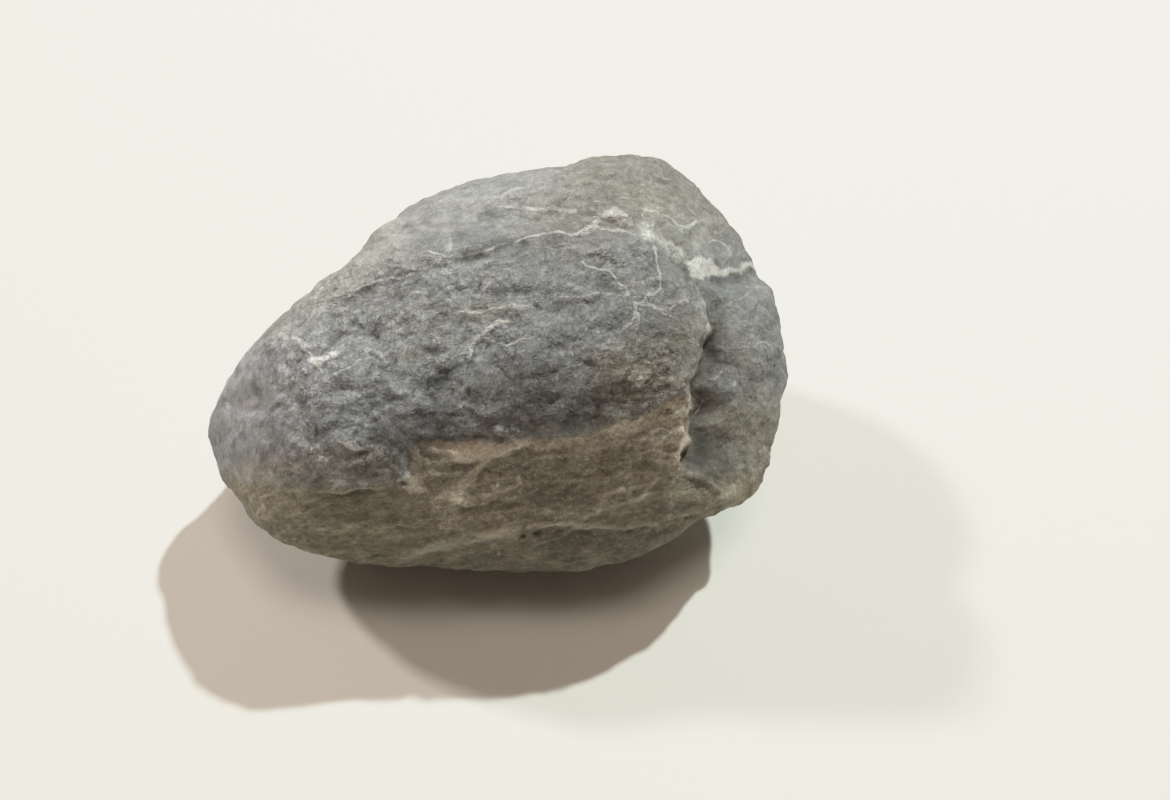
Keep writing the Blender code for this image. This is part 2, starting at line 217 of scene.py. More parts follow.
# Hollows (minus) and bumps (plus): place, radius, height (mm).
SPOTS = {
    "nose_hollow": ((266, 402), 12, -0.75),
    "nose_hollow_top": ((256, 395), 7, -0.4),
    "nose_side_hollow": ((238, 405), 8, -0.25),
    "left_hollow": ((374, 336), 9, -0.6),
    "left_hollow_low": ((383, 343), 7, -0.4),
    "left_hollow_small": ((333, 339), 8, -0.45),
    "low_left_hollow": ((338, 390), 8, -0.4),
    "wide_hollow": ((430, 394), 9, -0.6),
    "crease_hollow": ((432, 356), 7, -0.5),
    "upper_hollow": ((345, 304), 6, -0.6),
    "upper_hollow_small": ((351, 325), 4, -0.4),
    "streak_hollow": ((368, 374), 6, -0.4),
    "middle_hollow": ((440, 378), 7, -0.4),
    "front_hollow": ((319, 433), 9, -0.5),
    "stain_hollow": ((268, 458), 11, -0.4),
    "top_hollow": ((533, 202), 7, -0.45),
    "lobe_hollow": ((708, 247), 8, -0.4),
    "lobe_hollow_right": ((722, 252), 8, -0.4),
    "lobe_hollow_end": ((730, 262), 6, -0.4),
    "hole": ((669, 412), 2.6, -1.0),
    "pit": ((523, 535), 2.6, -0.8),
    "pit_beside": ((537, 534), 2.2, -0.5),
    "tan_pit": ((428, 456), 6, -0.2),
    "tan_pit_low": ((404, 487), 4, -0.5),
    "tan_pit_middle": ((482, 478), 6, -0.4),
    "bump": ((496, 485), 4.5, 0.45),
    "bump_beside": ((519, 480), 5, 0.4),
    "knob": ((410, 482), 10, 0.3),
    "pale_dot": ((498, 554), 3, 0.35),
    "ledge_knob": ((688, 441), 6, 0.3),
    "nick": ((238, 508), 6, -0.4),
    "left_bump": ((330, 412), 9, 0.35),
    "front_bump": ((354, 444), 7, 0.4),
}

# Crystal patches: how white, the width of their soft border in pixels, then the outline.
WHITE = {
    "shoulder": (1.0, 7, (686, 258), (697, 254), (708, 260), (722, 267), (738, 268), (720, 277), (692, 279)),
    "over_shoulder": (0.85, 7, (724, 273), (738, 265), (752, 261), (757, 266), (740, 275)),
    "rim_band": (
        0.62, 12, (644, 228), (660, 230), (675, 241), (690, 253), (694, 268), (680, 264), (664, 252),
    ),
    "junction": (0.7, 14, (632, 219), (650, 219), (664, 232), (660, 244), (640, 238)),
    "back_patch": (0.65, 10, (592, 211), (612, 206), (632, 213), (636, 226), (612, 224)),
    "bed_patch": (0.6, 5, (584, 232), (594, 226), (602, 222), (598, 232), (586, 238)),
    "nose_patch": (0.8, 5, (304, 356), (318, 358), (336, 350), (336, 356), (316, 366)),
    "nose_top_patch": (0.6, 5, (268, 338), (280, 332), (300, 336), (300, 342), (280, 340)),
}

# The tan stone that the peeled skin has left bare: its outline and its soft border.
PEELED = [
    (398, 486), (404, 480), (413, 474), (411, 458), (416, 443), (478, 442), (540, 442), (590, 436),
    (653, 410), (690, 394), (694, 440), (682, 475), (655, 484), (634, 502), (596, 518), (530, 528),
    (470, 542), (430, 532), (404, 512),
]
PEELED_BORDER = 11

# Soft areas: how strong, the width of their soft border in pixels, then the outline.
WARM_AREAS = {
    "front_left": (
        1.0, 18, (222, 480), (300, 484), (405, 482), (450, 520), (480, 545), (430, 600), (300, 580),
    ),
    "low": (0.95, 36, (400, 530), (530, 510), (620, 490), (680, 462), (770, 470), (760, 560), (420, 610)),
    "block_corner": (0.6, 50, (580, 360), (640, 335), (712, 320), (700, 400), (600, 430)),
    "lobe": (0.5, 40, (690, 400), (800, 400), (790, 500), (680, 490)),
    "crown": (0.3, 60, (560, 140), (760, 140), (760, 250), (640, 220), (560, 215)),
    "middle_streak": (0.35, 10, (450, 312), (480, 304), (532, 304), (528, 314), (470, 326)),
    "left_streak": (0.5, 12, (398, 352), (426, 348), (428, 356), (402, 362)),
    "front_low": (0.4, 20, (240, 462), (400, 440), (408, 480), (240, 480)),
}
COOL_AREAS = {
    "left": (0.8, 50, (170, 340), (250, 320), (420, 330), (460, 360), (460, 430), (400, 455), (190, 470)),
    "nose": (1.0, 40, (180, 350), (280, 340), (304, 440), (200, 476)),
    "block": (0.4, 60, (420, 270), (560, 250), (660, 260), (600, 360), (430, 370)),
}
# Where the skin is chipped and knobbly. Elsewhere the river has worn it.
ROUGH_AREAS = {
    "block": (1.0, 50, (330, 270), (480, 245), (640, 240), (700, 290), (700, 430), (560, 440), (400, 470)),
    "left": (1.0, 60, (270, 350), (330, 270), (430, 260), (420, 480), (280, 490)),
    "tan": (0.8, 40, (400, 440), (690, 400), (690, 480), (560, 530), (400, 540)),
    "low": (0.5, 40, (230, 480), (400, 480), (560, 510), (690, 470), (760, 480), (640, 580), (300, 580)),
    "lobe": (0.45, 40, (690, 290), (780, 300), (810, 420), (790, 470), (720, 500), (700, 420)),
    "crown": (0.35, 50, (440, 190), (600, 140), (740, 140), (780, 240), (640, 235), (480, 240)),
}
# How much lighter or darker the stone is in places: the factor, the border, the outline. Several are painted
# shade and painted light, as marked.
TONES = {
    "nose": (1.3, 60, (180, 350), (260, 325), (320, 380), (310, 480), (290, 530), (200, 490)),
    "nose_rim": (1.15, 30, (180, 350), (240, 330), (262, 372), (244, 420), (200, 430)),
    "front_bump": (1.4, 18, (300, 440), (352, 442), (360, 464), (320, 472)),
    "upper_edge": (1.25, 40, (270, 330), (380, 210), (560, 140), (590, 190), (440, 235), (330, 310)),
    "block": (0.88, 50, (420, 330), (540, 275), (620, 258), (700, 270), (700, 340), (640, 370), (430, 400)),
    # painted shade on the block's front, which turns down from the lamps
    "block_front": (0.74, 28, (450, 376), (520, 368), (600, 372), (624, 384), (610, 424), (500, 436)),
    "left_low": (0.95, 30, (366, 424), (420, 400), (430, 430), (410, 462), (376, 468)),
    # painted shade in the crease at the left
    "left_crease": (0.74, 20, (418, 380), (450, 376), (456, 430), (446, 464), (416, 464)),
    # painted shade in the corner under the block's left end
    "left_corner": (0.75, 14, (384, 440), (448, 438), (446, 456), (384, 462)),
    "left_side": (1.14, 30, (310, 300), (400, 280), (420, 310), (350, 345), (310, 345)),
    "left": (1.12, 26, (296, 340), (380, 328), (382, 362), (330, 420)),
    "nose_fold": (1.15, 12, (268, 384), (300, 386), (304, 402), (274, 404)),
    "left_corner_low": (1.15, 18, (226, 462), (262, 470), (280, 520), (250, 530)),
    # painted shade at the foot of the block, over its underside
    "block_foot": (0.84, 20, (530, 402), (606, 402), (602, 428), (540, 438)),
    "net_below": (0.92, 20, (580, 316), (620, 316), (620, 345), (585, 345)),
    "under_ledge": (0.95, 24, (620, 484), (688, 470), (724, 490), (690, 515), (620, 518)),
    # painted shade towards the bottom, near the floor
    "low": (0.8, 24, (320, 545), (420, 536), (560, 526), (690, 502), (730, 510), (640, 600), (330, 600)),
    "front_left": (0.96, 24, (270, 465), (400, 465), (400, 520), (290, 520)),
    "nose_spot": (1.25, 24, (282, 328), (318, 330), (324, 374), (290, 368)),
    "lobe_top": (1.1, 24, (712, 274), (765, 268), (775, 300), (730, 310)),
    # painted shade on the lobe's foot below the ledge
    "lobe_foot": (0.72, 20, (698, 446), (732, 452), (738, 478), (696, 486)),
    "ledge_shadow": (0.72, 8, (690, 432), (704, 436), (704, 468), (692, 472)),
    "lobe_hollow": (0.9, 16, (702, 372), (730, 370), (730, 396), (700, 398)),
    "lobe_bottom": (1.25, 16, (700, 490), (745, 478), (768, 484), (750, 504), (710, 506)),
    "low_right": (1.15, 14, (650, 522), (724, 502), (738, 508), (690, 545), (650, 545)),
    "low_middle": (1.15, 10, (545, 520), (586, 506), (602, 510), (590, 532), (550, 534)),
    "ledge_edge": (1.2, 8, (660, 408), (680, 408), (686, 430), (664, 428)),
    "scar": (1.1, 6, (430, 508), (448, 493), (484, 470), (526, 474), (516, 492), (486, 504)),
    "middle": (1.15, 26, (420, 304), (540, 290), (564, 308), (510, 345), (450, 362), (430, 360)),
    "left_bed": (1.32, 24, (392, 264), (470, 244), (484, 258), (420, 282)),
    "crown_middle": (1.08, 30, (600, 160), (700, 170), (700, 210), (620, 215)),
    "block_top": (1.14, 20, (440, 264), (504, 254), (504, 282), (450, 300)),
    "block_middle": (0.88, 24, (500, 330), (580, 325), (590, 368), (510, 370)),
    "rim": (1.15, 20, (664, 296), (700, 300), (708, 330), (694, 340), (676, 330)),
    "block_right": (0.8, 30, (600, 310), (690, 310), (700, 345), (690, 375), (640, 372)),
    # painted shade on the lobe's low part, which faces down
    "lobe_low": (0.74, 26, (696, 420), (732, 430), (738, 470), (722, 492), (690, 480)),
    "lobe_right": (1.1, 30, (738, 320), (775, 330), (795, 420), (775, 490), (752, 470)),
    "crown_right": (1.22, 34, (640, 196), (700, 200), (742, 256), (694, 256), (650, 226)),
    "crown_left": (1.14, 30, (440, 190), (540, 180), (560, 215), (470, 240), (430, 235)),
    # pale tan and painted light on the lip that faces up along the peel's edge
    "peel_lip": (
        1.35, 8, (412, 446), (540, 441), (620, 428), (620, 438), (530, 452), (470, 460), (430, 458),
    ),
    # pale tan and painted light on the lip, on towards the ledge
    "peel_right": (1.28, 20, (610, 430), (650, 412), (690, 398), (692, 440), (680, 470)),
    "tan_low": (1.25, 16, (424, 494), (470, 498), (462, 528), (430, 530)),
    "tan_middle": (0.85, 24, (530, 470), (610, 468), (600, 500), (560, 520), (530, 515)),
}
# Pale and dark places, as soft areas. Some are painted light and painted shade, as marked.
PALE = {
    "back_patch": (0.8, 8, (592, 211), (612, 207), (632, 214), (634, 225), (612, 223)),
    "crown": (0.28, 70, (395, 205), (520, 225), (640, 225), (700, 255), (780, 250), (740, 120), (480, 110)),
    "upper_left": (0.5, 50, (240, 350), (290, 350), (340, 310), (420, 265), (400, 180), (270, 280)),
    "nose": (0.3, 60, (190, 380), (250, 340), (290, 380), (260, 440), (190, 460)),
    # pale tan and painted light on the lip that faces up along the peel's edge
    "peel_lip": (1.0, 5, (414, 445), (516, 440), (533, 445), (505, 452), (484, 464), (464, 462), (440, 453)),
    "peel_corner": (1.0, 5, (398, 478), (410, 471), (422, 476), (425, 491), (409, 495), (398, 488)),
    "tan_line": (0.6, 3, (286, 487), (340, 488), (396, 485), (398, 490), (340, 493), (286, 491)),
    # pale tan and painted light on the lip, on towards the ledge
    "peel_lip_right": (
        0.6, 9, (516, 441), (590, 437), (653, 411), (688, 396), (690, 404), (655, 426), (600, 454),
        (535, 452),
    ),
    "peel_side": (0.9, 5, (411, 450), (421, 450), (420, 474), (424, 488), (398, 490), (410, 474)),
    "scar": (1.0, 4, (432, 500), (448, 490), (470, 493), (490, 493), (486, 499), (460, 501)),
    "scar_tail": (1.0, 4, (484, 495), (503, 488), (516, 474), (525, 474), (514, 487), (496, 497)),
    "scar_way_up": (0.8, 6, (448, 495), (460, 480), (478, 462), (490, 464), (472, 486), (458, 498)),
    "bump": (0.6, 3, (491, 480), (500, 480), (500, 490), (492, 490)),
    "ledge_face": (0.55, 7, (660, 408), (684, 402), (690, 440), (684, 452), (666, 440), (672, 424)),
    "ledge_foot": (0.45, 5, (676, 466), (690, 470), (694, 478), (680, 478), (668, 474)),
    "ledge_strip": (0.6, 5, (650, 443), (672, 441), (672, 447), (652, 449)),
    "left_chip": (0.6, 4, (340, 440), (358, 442), (368, 450), (348, 450)),
    "dot": (0.9, 2, (495, 552), (500, 551), (501, 556), (496, 557)),
}
# Dark places. Those below the block, on its underside, on the low green front and along the low edge are
# painted shade where the stone turns down, away from the lamps; scar_shade is painted shade below the scar.
DARK = {
    "below_block_shade": (0.3, 40, (400, 400), (440, 370), (620, 360), (670, 390), (600, 436), (415, 442)),
    "blue_scale": (0.35, 8, (410, 366), (440, 362), (446, 390), (412, 394)),
    "stain": (0.3, 10, (255, 446), (290, 440), (292, 462), (258, 468)),
    "low_green_shade": (0.35, 10, (560, 536), (640, 532), (700, 520), (640, 556), (540, 566)),
    "low_edge_shade": (0.3, 8, (390, 562), (560, 566), (640, 556), (600, 585), (420, 585)),
    "underside": (
        0.4, 34, (400, 440), (460, 392), (560, 384), (640, 376), (660, 392), (600, 430), (520, 438),
    ),
    "underside_left_shade": (0.45, 24, (340, 440), (410, 430), (404, 476), (350, 478)),
    "scar_shade": (0.55, 4, (452, 503), (486, 503), (500, 497), (490, 509), (460, 510)),
    "tan_brown": (0.45, 6, (500, 458), (528, 456), (524, 468), (504, 472)),
    "tan_brown_left": (0.4, 5, (422, 448), (432, 450), (430, 462), (422, 460)),
}


# ---- Fields over the surface


def smooth(low, high, value):
    """0 below low, 1 above high, and an S between them."""
    share = np.clip((value - low) / (high - low), 0, 1)
    return share * share * (3 - 2 * share)


SEED_SHIFT = np.array([17.3, -9.1, 5.7])


def waves(points, size, seed=0):
    """Smooth noise from about -0.7 to 0.7, with waves `size` across."""
    places = points / size + seed * SEED_SHIFT
    return np.array([noise.noise(Vector(place)) for place in places])


def strays(points, size, seed=0):
    """Three waves as one vector for each point."""
    return np.stack([waves(points, size, seed + axis / 3) for axis in range(3)], axis=1)


def cells(points, size, seed=0):
    """Nearness to the border of the cells that fill space, and which cell a point is in."""
    places = points / size + seed * SEED_SHIFT
    found = [noise.voronoi(Vector(place)) for place in places]
    nearest = np.array([distances[0] for distances, _ in found])
    second = np.array([distances[1] for distances, _ in found])
    centres = np.array([tuple(owners[0]) for _, owners in found])
    return second - nearest, places - centres, centres


LAYERS = math.radians(100), math.radians(-18)  # turn and lean of the way through the beds
THROUGH = (
    math.cos(LAYERS[1]) * (math.cos(LAYERS[0]) * ALONG + math.sin(LAYERS[0]) * UP_SLOPE)
    + math.sin(LAYERS[1]) * OUT
)


def flattened(points, by):
    """The points with distances through the beds made `by` times longer."""
    return points + (by - 1) * np.outer(points @ THROUGH, THROUGH)


CURVE_DETAIL = 5  # straight pieces between two points of a drawn line


def curve(points):
    """A curve through the points (Catmull-Rom)."""
    points = np.array(points, float)
    padded = np.vstack([2 * points[0] - points[1], points, 2 * points[-1] - points[-2]])
    line = []
    for before, start, end, after in zip(padded, padded[1:], padded[2:], padded[3:]):
        for step in range(CURVE_DETAIL):
            t = step / CURVE_DETAIL
            bend = (2 * before - 5 * start + 4 * end - after) * t**2
            swing = (3 * start - before - 3 * end + after) * t**3
            line.append(0.5 * (2 * start + (end - before) * t + bend + swing))
    return np.array(line + [points[-1]])


FAR = 1000.0


def beside(places, line, reach=60.0):
    """Each place's distance to a line, + on its left hand, and its share along the line."""
    distance = np.full(len(places), FAR)
    along = np.zeros(len(places))
    low, high = line.min(axis=0) - reach, line.max(axis=0) + reach
    near = np.flatnonzero(((places > low) & (places < high)).all(axis=1))
    places = places[near]
    best, side, share_along = np.full(len(near), FAR), np.ones(len(near)), np.zeros(len(near))
    for piece, (start, end) in enumerate(zip(line, line[1:])):
        run, offset = end - start, places - start
        share = np.clip(offset @ run / (run @ run), 0, 1)
        gap = np.hypot(*(offset - share[:, None] * run).T)
        closer = gap < best
        best[closer] = gap[closer]
        turn = run[1] * offset[:, 0] - run[0] * offset[:, 1]
        side[closer] = np.where(turn[closer] > 0, 1, -1)
        share_along[closer] = (piece + share[closer]) / (len(line) - 1)
    distance[near] = best * side
    along[near] = share_along
    return distance, along


def inside(places, outline, border):
    """1 inside an outline and 0 outside, with a soft border."""
    outline = np.array(outline + outline[:1], float)
    distance, _ = beside(places, outline, border)
    within = np.zeros(len(places), bool)
    x, y = places.T
    for (x0, y0), (x1, y1) in zip(outline, outline[1:]):
        if y0 == y1:
            continue
        crosses = ((y0 <= y) != (y1 <= y)) & (x < x0 + (y - y0) * (x1 - x0) / (y1 - y0))
        within ^= crosses
    depth = np.where(within, 1, -1) * np.abs(distance)
    return smooth(-border / 2, border / 2, depth)


def spot(places, middle, radius):
    """1 at the middle of a round spot, falling to 0 at about twice its radius."""
    distance = np.hypot(*(places - np.array(middle)).T)
    return np.exp(-((distance / radius) ** 2))


def fades(along, share=0.15):
    """0 at both ends of a line and 1 between them."""
    return smooth(0, share, along) * smooth(1, 1 - share, along)


# ---- The fine mesh

VOXEL = 0.43
MERGE = 0.01  # how near two points are to be one
SMOOTHING_ROUNDS = 10, 2  # after the first remeshing, and after the second
SHRINK, GROW = 0.5, -0.52  # smoothing that keeps the stone's size


class Surface:
    """The points of a mesh, with the sums over neighbours that smoothing needs."""

    def __init__(self, mesh):
        self.mesh = mesh
        count = len(mesh.vertices)
        self.points = np.empty(count * 3)
        mesh.vertices.foreach_get("co", self.points)
        self.points = self.points.reshape(-1, 3) / MM
        edges = np.empty(len(mesh.edges) * 2, int)
        mesh.edges.foreach_get("vertices", edges)
        edges = edges.reshape(-1, 2)
        self.here = np.concatenate([edges[:, 0], edges[:, 1]])
        self.there = np.concatenate([edges[:, 1], edges[:, 0]])
        self.degree = np.bincount(self.here, minlength=count)

    def mean_round(self, values):
        """The mean of the values at each point's neighbours."""
        if values.ndim == 1:
            return np.bincount(self.here, values[self.there], len(values)) / self.degree
        return np.stack([self.mean_round(column) for column in values.T], axis=1)

    def blurred(self, values, rounds):
        """The values evened out over their neighbours."""
        for _ in range(rounds):
            values = values + (self.mean_round(values) - values) * SHRINK
        return values

    def smooth_out(self, rounds):
        """Takes the facets off the surface without shrinking it."""
        for _ in range(rounds):
            for share in (SHRINK, GROW):
                self.points += (self.mean_round(self.points) - self.points) * share

    def normals(self):
        self.write()
        normals = np.empty(len(self.points) * 3)
        self.mesh.vertex_normals.foreach_get("vector", normals)
        return normals.reshape(-1, 3)

    def write(self):
        self.mesh.vertices.foreach_set("co", (self.points * MM).ravel())
        self.mesh.update()

    def keep(self, name, values):
        """Stores the values on the mesh for the material to read."""
        attribute = self.mesh.attributes.new(name, "FLOAT", "POINT")
        attribute.data.foreach_set("value", values.astype(np.float32))


def remeshed(mesh):
    """A copy of the mesh with even, fine faces."""
    copy = bpy.data.objects.new("rough_copy", mesh)
    bpy.context.scene.collection.objects.link(copy)
    weld = copy.modifiers.new("weld", "WELD")
    weld.merge_threshold = MERGE * MM
    remesh = copy.modifiers.new("remesh", "REMESH")
    remesh.mode = "VOXEL"
    remesh.voxel_size = VOXEL * MM
    graph = bpy.context.evaluated_depsgraph_get()
    fine = bpy.data.meshes.new_from_object(copy.evaluated_get(graph))
    bpy.data.objects.remove(copy)
    fine.name = "pebble_skin"
    return fine


# ---- 1. The ledge, made ragged, with a groove at its foot

SEEN = (-0.25, 0.05)  # a drawn thing fades out as the surface turns from the camera


def facing(points, normals):
    """1 where the camera sees the surface, fading to 0 just behind the stone's outline."""
    to_camera = EYE - points
    to_camera /= np.linalg.norm(to_camera, axis=1)[:, None]
    return smooth(*SEEN, (normals * to_camera).sum(axis=1))


def ragged_ledge(points, seen):
    """How far each point near the ledge moves, so that its rim is broken and its foot sunk."""
    places = in_photo(points)
    distance, along = beside(places, curve(LEDGE))
    run = smooth(0.0, 0.3, along) * smooth(1.0, 0.96, along)
    near = smooth(14, 4, np.abs(distance)) * run
    sideways = 0.6 * waves(points, 2.3, 21) + 0.5 * waves(points, 1.0, 22)
    move = np.outer(near * sideways * seen, ALONG)
    move += np.outer(near * 0.5 * waves(points, 1.6, 23) * seen, UP_SLOPE)
    run = smooth(0.15, 0.45, along) * smooth(1.0, 0.94, along) * seen
    foot = smooth(-2, 5, distance) * smooth(FOOT_REACH, 6, distance)
    groove = smooth(-1, 4, distance) * smooth(GROOVE_REACH, 4, distance)
    groove *= 1 + 0.15 * waves(points, 3.0, 24)
    rim = smooth(-RIM_REACH, -3, distance) * smooth(1, -1, distance)
    rise = RIM_LIFT * rim - FOOT_DEPTH * foot - GROOVE_DEPTH * groove
    move += np.outer(rise * run, OUT)
    middle, radius, depth = DEEP_GAP
    dug = depth * spot(places, middle, radius) * smooth(-3, 4, distance)
    move -= np.outer(dug * seen, OUT)
    middle, radius, depth = FALLS_AWAY
    move -= np.outer(depth * spot(places, middle, radius) * seen, OUT)
    return move


# ---- 2. Rock detail all round


def pillows(points, size, seed=0):
    """Low lumps with narrow creases between them, 0 in a crease and 1 on top."""
    border, _, _ = cells(points, size, seed)
    return np.clip(border / 0.5, 0, 1) ** 0.6


def chips(points, size, seed=0):
    """Flat chips, each tilted its own way, from about -0.5 to 0.5."""
    border, offset, centre = cells(points, size, seed)
    tilt = strays(centre, 0.37, seed)
    return (offset * tilt).sum(axis=1) * smooth(0.0, 0.12, border)


def rock_detail(points, rough):
    """How far the surface rises at each point: lumps, chips, thin beds and grain, in mm."""
    warped = points + 1.3 * strays(points, 5.0, 11) + 0.5 * strays(points, 1.6, 12)
    beds = flattened(warped, 1.25)
    patchy = smooth(-0.35, 0.35, waves(points, 9.0, 14))
    rise = 0.22 * (pillows(beds, 6.4, 1) - 0.7) * (0.3 + 0.7 * rough)
    rise += 0.20 * (pillows(beds, 2.6, 2) - 0.7) * (0.4 + patchy) * rough
    rise += 0.42 * chips(beds, 3.6, 3) * rough
    rise += 0.34 * chips(flattened(warped, 1.2), 1.5, 4) * (1.4 - patchy) * rough
    rise += 0.14 * waves(flattened(points, 2.6), 3.0, 5) * (0.5 + 0.5 * rough)
    rise += 0.10 * waves(points, 1.1, 6)
    return rise


# ---- 3. The drawn relief and markings


def stepped(places):
    """How far the drawn edges of beds and chips raise the surface behind them."""
    rise = np.zeros(len(places))
    for drop, run, *points in EDGES.values():
        distance, along = beside(places, curve(points))
        behind = smooth(-2.0, 2.0, distance) * smooth(run, 2.0, distance)
        foot = 0.2 * np.exp(-(((distance + 3.5) / 3.0) ** 2))
        rise += drop * (behind - foot) * fades(along, 0.35)
    return rise


def toned(places):
    """How much lighter or darker each place is, as a factor."""
    factor = np.ones(len(places))
    for change, border, *outline in TONES.values():
        factor *= 1 + (change - 1) * inside(places, outline, border)
    return factor


def ridged(places):
    """How far the drawn ridges raise the surface, and how pale they are."""
    rise, pale = np.zeros(len(places)), np.zeros(len(places))
    for height, half, light, *points in RIDGES.values():
        distance, along = beside(places, curve(points))
        bump = np.exp(-((distance / half) ** 2)) * fades(along)
        below = np.exp(-(((distance + 2 * half) / half) ** 2)) * fades(along)
        rise += height * (bump - 0.6 * below)
        pale = np.maximum(pale, light * bump)
    return rise, pale


def spotted(places):
    """How far the drawn hollows and bumps move the surface."""
    rise = np.zeros(len(places))
    for middle, radius, height in SPOTS.values():
        rise += height * spot(places, middle, radius)
    return rise


def areas(places, drawn):
    """The strongest of the drawn soft areas at each place."""
    total = np.zeros(len(places))
    for strength, border, *outline in drawn.values():
        total = np.maximum(total, strength * inside(places, outline, border))
    return total


def veined(places):
    """The nearest vein's sideways distance, its half width there and how white it is."""
    side, half, white = np.full(len(places), FAR), np.zeros(len(places)), np.zeros(len(places))
    nearest = np.full(len(places), FAR)
    for width, light, *points in VEINS.values():
        distance, along = beside(places, curve(points), 12)
        local = width * (0.35 + 0.65 * fades(along))
        gap = np.abs(distance) - local
        nearer = gap < nearest
        nearest[nearer] = gap[nearer]
        side[nearer] = distance[nearer]
        half[nearer] = local[nearer]
        white[nearer] = light
    return side, half, white


# ---- The stone

WORN_SIDES = 0.4  # how much of the chipping the worn sides keep
STRATA_HEIGHT, GRAIN_HEIGHT = 0.22, 0.16  # of the thin beds and the grain on the peeled front
CALM = 0.35  # how much of the rock detail the peeled front lacks
PEEL_REACH = 200  # how far from its edge the peeled front is measured, in pixels
SHADE_REACH = 40  # how far the painted shade and dirt below the ledge reach, in pixels
QUIET = 0.8  # how much of the rock detail the ledge's foot lacks
ABOVE_FLAT = 0.2, 1.6  # the heights between which detail begins, above the flat it rests on
SEEN_ROUNDS, BROAD_ROUNDS = 4, 28  # of blurring: what is seen, and the broad way outwards
BEND_ROUNDS, WIDE_BEND_ROUNDS = 4, 21  # for how the surface bends, near by and wider
VEIN_LIMIT = 20  # veins farther than this many pixels are all alike

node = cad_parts["pebble"]
stone = Surface(remeshed(node.data.copy()))
stone.smooth_out(SMOOTHING_ROUNDS[0])
seen = facing(stone.points, stone.normals())
stone.points += ragged_ledge(stone.points, stone.blurred(seen, SEEN_ROUNDS))
stone.write()
stone = Surface(remeshed(stone.mesh))
stone.smooth_out(SMOOTHING_ROUNDS[1])

normals = stone.normals()
broad_normals = stone.blurred(normals, BROAD_ROUNDS)
broad_normals /= np.linalg.norm(broad_normals, axis=1)[:, None]
seen = facing(stone.points, broad_normals)

strayed = stone.points + 0.5 * strays(stone.points, 2.4, 31) + 0.25 * strays(stone.points, 0.9, 32)
places = in_photo(strayed)
tan_depth, tan_along = beside(places, curve(PEEL_EDGE), PEEL_REACH)
tan_depth = -tan_depth
tan = inside(places, PEELED, PEELED_BORDER) * seen
along_peel = smooth(0.30, 0.42, tan_along) * smooth(0.86, 0.62, tan_along) * seen
lip = smooth(0, 6, tan_depth) * smooth(26, 8, tan_depth) * along_peel
underside = np.clip(1 + tan_depth / UNDERSIDE_REACH, 0, 1) * smooth(6, -4, tan_depth) * along_peel

from_ledge, along_ledge = beside(places, curve(LEDGE))
below_ledge = smooth(-2, 3, from_ledge) * smooth(0.2, 0.5, along_ledge)
below_ledge *= smooth(1.0, 0.98, along_ledge) * seen
# Painted shade, partly dirt, in the strip below the ledge's rim, where the rim overhangs the lobe's foot.
shade = smooth(SHADE_REACH, 0, from_ledge) * below_ledge
quiet = 1 - QUIET * smooth(1.4 * SHADE_REACH, 0.7 * SHADE_REACH, from_ledge) * below_ledge

ridge_rise, ridge_pale = ridged(places)
rough = WORN_SIDES + (1 - WORN_SIDES) * areas(places, ROUGH_AREAS) * seen
rise = rock_detail(stone.points, rough) * (1 - CALM * tan) * quiet
broken = smooth(-0.3, 0.2, waves(stone.points, 3.5, 51))
rise += (stepped(places) * broken + ridge_rise + spotted(places)) * seen
rise += LIP_HEIGHT * lip - UNDERSIDE_DEPTH * underside
strata = waves(flattened(stone.points, 5.0), 4.5, 42) + 0.6 * waves(stone.points, 1.7, 43)
rise += (GRAIN_HEIGHT * waves(stone.points, 0.8, 41) + STRATA_HEIGHT * strata) * tan
above_flat = smooth(*ABOVE_FLAT, stone.points[:, 2])
stone.points += broad_normals * (rise * above_flat)[:, None]
stone.points[:, 2] = np.maximum(stone.points[:, 2], 0)
stone.write()

# Which way the surface bends: worn light on its rims, and painted shade and dirt in its creases and hollows.
level = stone.blurred(stone.points, BEND_ROUNDS)
bend = ((stone.points - level) * broad_normals).sum(axis=1)
wide_level = stone.blurred(stone.points, WIDE_BEND_ROUNDS)
wide_bend = ((stone.points - wide_level) * broad_normals).sum(axis=1)
worn = smooth(0.01, 0.09, bend)
crease_shade_and_dirt = np.maximum(smooth(-0.02, -0.14, bend), smooth(-0.12, -0.60, wide_bend))
crease_shade_and_dirt *= 1 - 0.8 * np.exp(-((tan_depth / 9) ** 2)) * along_peel

vein_side, vein_half, vein_white = veined(places)
kept = {
    "vein_side": np.clip(vein_side, -VEIN_LIMIT, VEIN_LIMIT) * PIXEL,
    "vein_gap": np.clip(np.abs(vein_side), 0, VEIN_LIMIT) * PIXEL + (1 - seen),
    "vein_half": vein_half * PIXEL,
    "vein_white": vein_white,
    "tan": tan,
    "warm": areas(places, WARM_AREAS) * seen,
    "rough": rough,
    "cool": areas(places, COOL_AREAS) * seen,
    # partly painted light and painted shade, as marked in TONES
    "tone": 1 + (toned(places) - 1) * seen,
    "white": areas(places, WHITE) * seen,
    # pale places and ridges, with painted light on the peel's lip
    "pale": np.maximum(areas(places, PALE), ridge_pale) * seen,
    # painted shade below the ledge and in the shaded dark areas, with the stain and brown spots
    "dark": np.maximum(areas(places, DARK) * seen, shade),
    "worn": worn,
    "crease_shade_and_dirt": crease_shade_and_dirt,
}
for name, values in kept.items():
    stone.keep(name, values)

skin = bpy.data.objects.new("pebble_skin", stone.mesh)
bpy.context.scene.collection.objects.link(skin)
stone.mesh.shade_smooth()


# ---- The material


ROCK = bpy.data.materials.new("grey_limestone")
ROCK.use_nodes = True
TREE = ROCK.node_tree
SHADER = TREE.nodes["Principled BSDF"]


